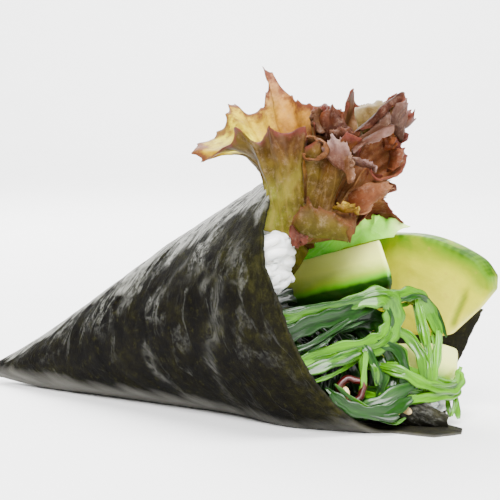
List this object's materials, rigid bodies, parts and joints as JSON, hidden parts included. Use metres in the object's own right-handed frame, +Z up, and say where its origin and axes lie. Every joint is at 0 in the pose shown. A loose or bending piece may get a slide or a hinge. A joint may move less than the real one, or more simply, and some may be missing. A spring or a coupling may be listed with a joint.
{
  "type": "temaki hand roll",
  "caption": "Cone-shaped seaweed hand roll lying on its side, with rice, cucumber, avocado, seaweed salad, chilli and frilly lettuce showing at its open mouth.",
  "frame": {"origin": "on the surface that the roll lies on, under the middle of its bounding box", "axes": "+X from the closed tip of the cone towards its open mouth, +Z up, -Y the side on which the fillings show most"},
  "size_m": [0.1248, 0.0626, 0.073],
  "materials": {
    "nori": "dark green-black dried seaweed sheet, fine wrinkles, faint oily sheen",
    "rice": "moist cooked short-grain rice, soft sheen",
    "red_lettuce": "frilly red-brown leaf, olive towards its base, satin",
    "green_leaf": "frilly bright green leaf, satin",
    "cucumber": "wet pale flesh with a dark green skin side",
    "avocado": "smooth buttery flesh, greener towards the skin side",
    "wakame": "wet, glossy, translucent green strands",
    "chilli": "dark red, wet, with a tan seed"
  },
  "bodies": {
    "root": {"nori_wrap": "nori", "rice": "rice", "lettuce": "red_lettuce", "green_leaf": "green_leaf", "cucumber_front": "cucumber", "cucumber_back": "cucumber", "avocado": "avocado", "wakame_salad": "wakame", "chili_ring": "chilli"}
  },
  "joints": []
}
